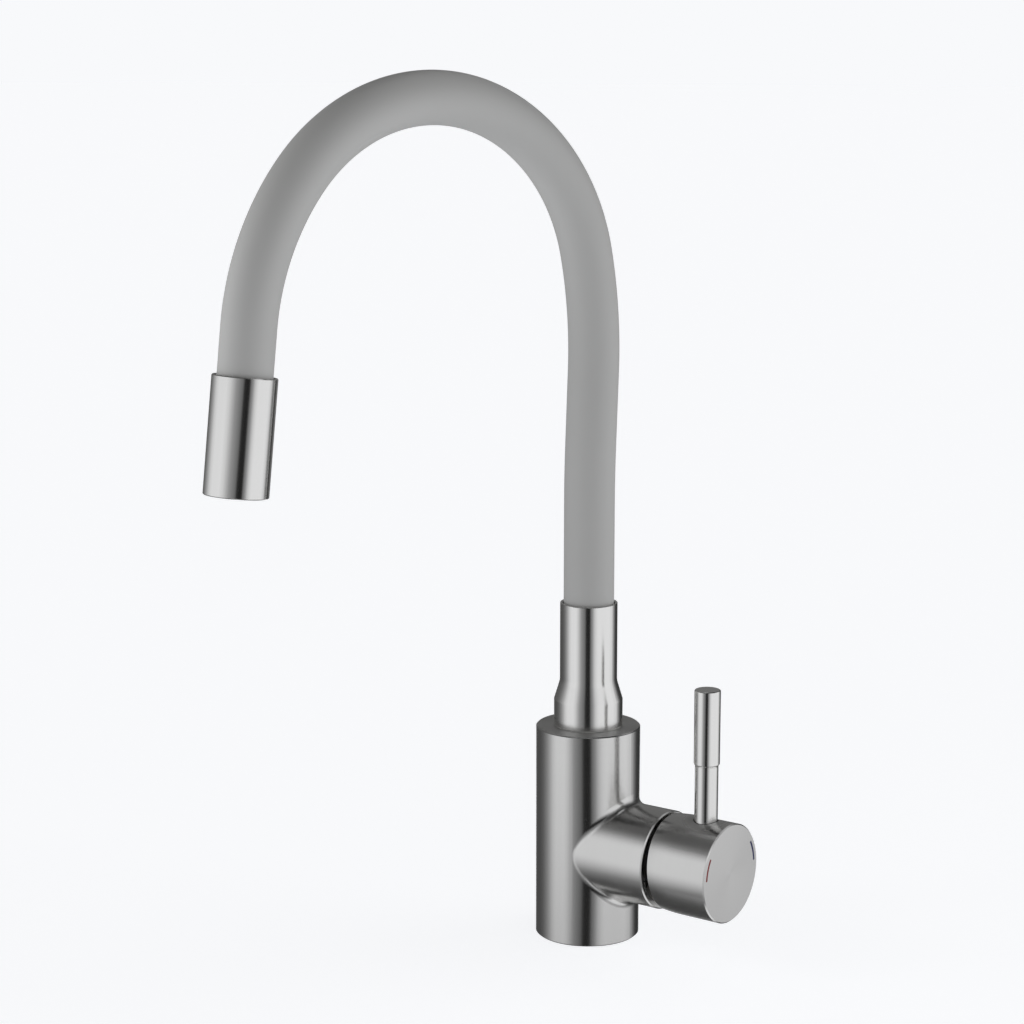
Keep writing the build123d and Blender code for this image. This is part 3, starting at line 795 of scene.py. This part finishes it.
@dataclass
class Gooseneck:
    """The bendable hose: sleeve, conduit and water tube between the collar and the outlet."""

    route: Route = field(default_factory=Route)
    sleeve: Tube = Tube(outer=10.8 * MM, wall=1.9 * MM, sides=72)
    water: Tube = Tube(outer=5.3 * MM, wall=1.3 * MM, sides=32, ring_step=3 * MM)
    sleeve_start: float = 0.1 * MM
    water_start: float = 2.55 * MM
    water_end_short_of_sleeve: float = 1.6 * MM
    sleeve_finish: Moulded = Moulded("sleeve_silicone", Compound.SILICONE.value, roughness=0.55,
                                     grain_size=0.25 * MM, grain_depth=0.006 * MM, drift_size=60 * MM,
                                     drift=0.012)
    water_finish: Moulded = Moulded("hose_plastic", Compound.HOSE_PLASTIC.value, roughness=0.4)
    conduit_roughness: float = 0.35
    fitting_roughness: float = 0.28
    bends: tuple[Bend, ...] = (
        Bend("riser_side_bend", 22 * MM),
        Bend("riser_bend", 25 * MM),
        Bend("crown_bend", 34 * MM),
        Bend("crown_turn", 34 * MM),
        Bend("outlet_bend", 32 * MM),
    )

    def joint(self, bend: Bend) -> dict:
        """The frame's joint of a bend."""
        return next(joint for joint in frame["joints"] if joint["name"] == bend.joint)

    def bend_lengths(self) -> list[float]:
        """The lengths along the line at which the hose bends."""
        return [self.route.nearest(Vector(self.joint(bend)["pos_m"])) for bend in self.bends]

    def limits(self, start: float, end: float) -> list[float]:
        """Where one bend's stretch of hose ends and the next one's starts.

        Args:
            start: The hose's start along the line.
            end: Its end along the line.

        Returns:
            The limits, the start and the end among them.
        """
        lengths = self.bend_lengths()
        inner = []
        for index in range(len(lengths) - 1):
            low = lengths[index] + self.bends[index].reach
            high = lengths[index + 1] - self.bends[index + 1].reach
            inner.append((low + high) / 2)
        return [start, *inner, end]

    def lay(self, tube: Tube, name: str, node: str, start: float, end: float,
            finish: Moulded) -> None:
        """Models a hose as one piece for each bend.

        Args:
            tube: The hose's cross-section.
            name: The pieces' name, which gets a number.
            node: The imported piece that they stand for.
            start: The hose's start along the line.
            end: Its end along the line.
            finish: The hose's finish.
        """
        limits = self.limits(start, end)
        material = finish.material()
        for index, (bend, length) in enumerate(zip(self.bends, self.bend_lengths())):
            piece = tube.model(f"{name}_{index + 1}", self.route, limits[index], limits[index + 1])
            piece.data.materials.append(material)
            joint = self.joint(bend)
            self.route.at(length - bend.reach).point
            self.route.at(length + bend.reach).point
            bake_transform(piece)
            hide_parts(node)
            log.info("%s: bends with %s", piece.name, bend.joint)

    def build(self) -> None:
        """Models the hoses and dresses the conduit and its fittings."""
        end = self.route.length()
        self.lay(self.sleeve, "sleeve", "silicone_sleeve", self.sleeve_start, end,
                 self.sleeve_finish)
        self.lay(self.water, "water_hose", "water_tube", self.water_start,
                 end - self.water_end_short_of_sleeve, self.water_finish)
        for node in sorted(frame["nodes"]):
            if node.startswith("conduit_section"):
                dress(node, TurnedMetal(f"{node}_steel", Plating.STEEL.value, self.conduit_roughness))
        dress("lower_ferrule", TurnedMetal("lower_fitting_brass", Plating.BRASS.value,
                                           self.fitting_roughness))


@dataclass
class Outlet:
    """The cylinder at the spout's end with its aerator."""

    roughness: float = 0.2
    seal_roughness: float = 0.65
    straightener_roughness: float = 0.35
    route: Route = field(default_factory=Route)

    def build(self) -> None:
        """Dresses the outlet's pieces."""
        axis = self.route.direction(self.route.outlet_heading)
        centre = self.route.at(self.route.length()).point
        for node, name, plating, roughness, stretch in (
            ("outlet_housing", "outlet_nickel", Plating.BRIGHT_NICKEL, self.roughness, 0.8),
            ("aerator_housing", "aerator_chrome", Plating.CHROME, 0.15, 0.3),
            ("aerator_screen", "screen_steel", Plating.STEEL, 0.3, 0.3),
            ("upper_ferrule", "upper_fitting_brass", Plating.BRASS, 0.28, 0.5),
            ("outlet_nut", "outlet_nut_brass", Plating.BRASS, 0.3, 0.5),
        ):
            dress(node, TurnedMetal(name, plating.value, roughness, stretch, axis, centre))
        dress("aerator_seal", Moulded("aerator_rubber", Compound.RUBBER.value, self.seal_roughness))
        dress("flow_straightener", Moulded("straightener_plastic", Compound.PALE_PLASTIC.value,
                                           self.straightener_roughness))


@dataclass(frozen=True)
class Lamp:
    """A lamp that reflections don't see, and where it hangs. Angles are in degrees."""

    kind: str
    name: str
    aim: Vector
    distance: float
    offset: float
    rise: float
    energy: float

    def hang(self, bearing: float) -> bpy.types.Object:
        """Hangs the lamp.

        Args:
            bearing: The direction in the world that its offset counts from, in degrees.

        Returns:
            The lamp.
        """
        level = math.radians(bearing + self.offset)
        lift = math.radians(self.rise)
        toward = Vector((math.cos(level) * math.cos(lift), math.sin(level) * math.cos(lift), math.sin(lift)))
        deselect()
        bpy.ops.object.light_add(type=self.kind, location=self.aim + self.distance * toward,
                                 rotation=toward.to_track_quat("Z", "Y").to_euler())
        lamp = bpy.context.object
        lamp.name = self.name
        lamp.data.energy = self.energy
        lamp.visible_glossy = False
        return lamp


@dataclass(frozen=True)
class Tent:
    """A dark tent that only the metal sees, with soft openings to the pale surroundings.

    Each pair holds the angles at which a fade starts and ends, in degrees above the level or to the right
    of the camera. Each of the openings is such an angle and the share of the surroundings that shows there.
    """

    radius: float = 0.5
    height: float = 0.05
    segments: int = 96
    rings: int = 48
    cloth_front: float = 0.015
    cloth_left: float = 0.07
    cloth_right: float = 0.025
    cloth_above_left: float = 0.11
    cloth_above_behind: float = 0.18
    left_to_right: tuple[float, float] = (-60, 60)
    below_to_above: tuple[float, float] = (-8, 8)
    front_to_aside: tuple[float, float] = (8, 60)
    aside_to_behind: tuple[float, float] = (150, 165)
    openings: tuple[tuple[float, float], ...] = (
        (-180, 0.0), (-129, 0.02), (-114, 0.09), (-102, 0.25), (-91, 0.5), (-82, 0.8), (-73, 0.95),
        (-52, 0.97), (-44, 0.82), (-36, 0.55), (-30, 0.36), (-22, 0.26), (-14, 0.17), (-10, 0.01),
        (5, 0.0), (8, 0.2), (15, 0.34), (22, 0.68), (30, 0.9), (38, 1.0), (90, 1.0), (100, 0.9),
        (110, 0.76), (119, 0.3), (132, 0.03), (180, 0.0),
    )
    opening_low: tuple[float, float] = (-58, -8)
    opening_high: tuple[float, float] = (24, 57)
    floor_opening: tuple[float, float] = (-52, -38)
    floor_opening_left: tuple[float, float] = (-75, -45)
    floor_opening_right: tuple[float, float] = (150, 178)
    back_opening: tuple[float, float] = (158, 166)
    back_opening_top: tuple[float, float] = (-16, -6)
    overhead_opening: tuple[float, float] = (74, 86)

    def build(self, bearing: float) -> None:
        """Puts the tent up round the object.

        Args:
            bearing: The camera's direction in the world, in degrees.
        """
        deselect()
        bpy.ops.mesh.primitive_uv_sphere_add(segments=self.segments, ring_count=self.rings,
                                             radius=self.radius)
        tent = bpy.context.object
        tent.name = "tent"
        tent.location = (0, 0, self.height)
        graph = Graph("tent_cloth")
        turn = Matrix.Rotation(-math.radians(bearing), 3, "Z")
        x, y, z = graph.add("SeparateXYZ", {"Vector": graph.mapped(graph.coordinates(), turn=turn)}).outputs
        azimuth = graph.sum(graph.sum(y, x, "ARCTAN2"), math.degrees(1), "MULTIPLY")
        sine = graph.sum(z, self.radius, "DIVIDE")
        rise = graph.sum(graph.sum(sine, 0, "ARCSINE"), math.degrees(1), "MULTIPLY")
        gaps = self.gaps(graph, azimuth, rise)
        cloth = graph.add("Emission", {"Strength": self.glow(graph, azimuth, rise)}).outputs[0]
        clear = graph.add("BsdfTransparent").outputs[0]
        graph.show(graph.add("MixShader", {0: gaps, 1: cloth, 2: clear}))
        tent.data.materials.append(graph.owner)
        tent.visible_camera = False
        tent.visible_diffuse = False
        tent.visible_shadow = False

    def gaps(self, graph: Graph, azimuth: bpy.types.NodeSocket,
             rise: bpy.types.NodeSocket) -> bpy.types.NodeSocket:
        """How much of the surroundings shows through the tent.

        Args:
            graph: The tent's material.
            azimuth: The direction in degrees to the right of the camera.
            rise: The direction in degrees above the level.

        Returns:
            The share in each direction.
        """
        floorward = graph.sum(graph.spread(azimuth, 0, 1, *self.floor_opening_left),
                              graph.spread(azimuth, 1, 0, *self.floor_opening_right), "MULTIPLY")
        below = graph.sum(floorward, graph.spread(rise, 1, 0, *self.floor_opening), "MULTIPLY")
        low = graph.sum(graph.spread(rise, 0, 1, *self.opening_low), below, "MAXIMUM")
        high = graph.spread(rise, 1, 0, *self.opening_high)
        sides = graph.sum(graph.sum(low, high, "MULTIPLY"), self.around(graph, azimuth), "MULTIPLY")
        off_front = graph.sum(azimuth, 0, "ABSOLUTE")
        behind = graph.sum(graph.spread(off_front, 0, 1, *self.back_opening),
                           graph.spread(rise, 1, 0, *self.back_opening_top), "MULTIPLY")
        overhead = graph.spread(rise, 0, 1, *self.overhead_opening)
        return graph.sum(graph.sum(sides, graph.sum(behind, low, "MULTIPLY")), overhead)

    def glow(self, graph: Graph, azimuth: bpy.types.NodeSocket,
             rise: bpy.types.NodeSocket) -> bpy.types.NodeSocket:
        """How light the cloth itself is.

        Args:
            graph: The tent's material.
            azimuth: The direction in degrees to the right of the camera.
            rise: The direction in degrees above the level.

        Returns:
            The cloth's light in each direction.
        """
        off_front = graph.sum(azimuth, 0, "ABSOLUTE")
        below = graph.spread(azimuth, self.cloth_left, self.cloth_right, *self.left_to_right)
        beside = graph.spread(azimuth, self.cloth_above_left, self.cloth_right, *self.left_to_right)
        backward = graph.spread(off_front, 0, 1, *self.aside_to_behind)
        above = graph.mix(backward, beside, self.cloth_above_behind)
        aside = graph.spread(rise, below, above, *self.below_to_above)
        return graph.mix(graph.spread(off_front, 0, 1, *self.front_to_aside), self.cloth_front, aside)

    def around(self, graph: Graph, azimuth: bpy.types.NodeSocket) -> bpy.types.NodeSocket:
        """How open the tent is in each direction round the object.

        Args:
            graph: The tent's material.
            azimuth: The direction in degrees to the right of the camera.

        Returns:
            The share of the surroundings that shows.
        """
        along = graph.add("MapRange", {"Value": azimuth, "From Min": -180, "From Max": 180}).outputs["Result"]
        ramp = graph.add("ValToRGB", {"Fac": along})
        stops = ramp.color_ramp.elements
        while len(stops) > 1:
            stops.remove(stops[-1])
        for index, (angle, share) in enumerate(self.openings):
            place = (angle + 180) / 360
            stop = stops.new(place) if index else stops[0]
            stop.position = place
            stop.color = (share, share, share, 1)
        return ramp.outputs["Color"]


@dataclass
class Studio:
    """The plain floor, the light, the tent that the metal mirrors, and the camera. Angles are in degrees."""

    camera_place: Vector = field(default_factory=lambda: Vector((0.6012, -0.8583, 0.3732)))
    camera_tilt: float = 79.86
    camera_turn: float = 36.81
    camera_lens: float = 87.9
    camera_sensor: float = 36
    camera_clip: float = 0.05
    paper: Colour = (0.939, 0.947, 0.965)
    floor_size: float = 80
    floor_glow: float = 0.82
    floor_shade: float = 0.5
    light_level: float = 0.96
    light_overhead: float = 0.1
    tent: Tent = Tent()
    right_lamp: Lamp = Lamp(kind="SUN", name="right_lamp", aim=CENTRE, distance=2, offset=95, rise=-6,
                            energy=1.85)
    lamp_angle: float = 70
    left_panel: Lamp = Lamp(kind="AREA", name="left_panel", aim=Vector((-0.045, -0.168, 0.30)), distance=0.22,
                            offset=-90, rise=8, energy=0.078)
    panel_size: float = 0.15
    panel_spread: float = 90

    def bearing(self) -> float:
        """The camera's direction in the world, in degrees."""
        return math.degrees(math.atan2(self.camera_place.y, self.camera_place.x))

    def build(self) -> None:
        """Sets the whole stage up."""
        self.build_camera()
        self.build_world()
        self.build_floor()
        self.tent.build(self.bearing())
        self.build_lamps()

    def build_camera(self) -> None:
        """Puts the camera where the photograph's stood."""
        deselect()
        turn = (math.radians(self.camera_tilt), 0, math.radians(self.camera_turn))
        bpy.ops.object.camera_add(location=self.camera_place, rotation=turn)
        camera = bpy.context.object
        camera.data.lens = self.camera_lens
        camera.data.sensor_width = self.camera_sensor
        camera.data.clip_start = self.camera_clip
        bpy.context.scene.camera = camera

    def build_world(self) -> None:
        """Makes the surroundings pale to the eye and in reflections, and dimmer overhead as light."""
        graph = Graph("surroundings", world=True)
        bpy.context.scene.world = graph.owner
        path = graph.add("LightPath").outputs
        seen = graph.sum(path["Is Camera Ray"], path["Is Glossy Ray"], "MAXIMUM")
        seen = graph.sum(seen, path["Is Transmission Ray"], "MAXIMUM")
        direction = graph.add("SeparateXYZ", {"Vector": graph.add("TexCoord").outputs["Generated"]})
        strength = graph.add("MapRange", {"Value": direction.outputs["Z"], "To Min": self.light_level,
                                          "To Max": self.light_overhead}).outputs["Result"]
        light = graph.add("Background", {"Strength": strength}).outputs[0]
        pale = graph.add("Background", {"Color": (*self.paper, 1)}).outputs[0]
        graph.show(graph.add("MixShader", {0: seen, 1: light, 2: pale}))

    def build_floor(self) -> None:
        """Lays the pale floor, which keeps the object's shadow and isn't mirrored by the metal."""
        deselect()
        bpy.ops.mesh.primitive_plane_add(size=self.floor_size)
        floor = bpy.context.object
        floor.name = "floor"
        graph = Graph("floor_paper")
        diffuse = graph.add("BsdfDiffuse", {"Color": (*shade(self.paper, self.floor_shade), 1)})
        glow = graph.add("Emission", {"Color": (*self.paper, 1), "Strength": self.floor_glow})
        graph.show(graph.add("AddShader", {0: diffuse.outputs[0], 1: glow.outputs[0]}))
        floor.data.materials.append(graph.owner)
        floor.visible_glossy = False

    def build_lamps(self) -> None:
        """Hangs a large soft lamp to the right, and a small panel to the left of the spout's drop."""
        lamp = self.right_lamp.hang(self.bearing())
        lamp.data.angle = math.radians(self.lamp_angle)
        panel = self.left_panel.hang(self.bearing())
        panel.data.size = self.panel_size
        panel.data.spread = math.radians(self.panel_spread)
        panel.visible_camera = False


def main() -> None:
    """Builds the stage and every sub-assembly, in order."""
    logging.basicConfig(level=logging.INFO, format="%(name)s %(message)s")
    bpy.context.scene.view_settings.view_transform = "Standard"
    Studio().build()
    for part in (Column(), Cartridge(), Lever(), Swivel(), Gooseneck(), Outlet()):
        part.build()


if __name__ == "__main__":
    main()
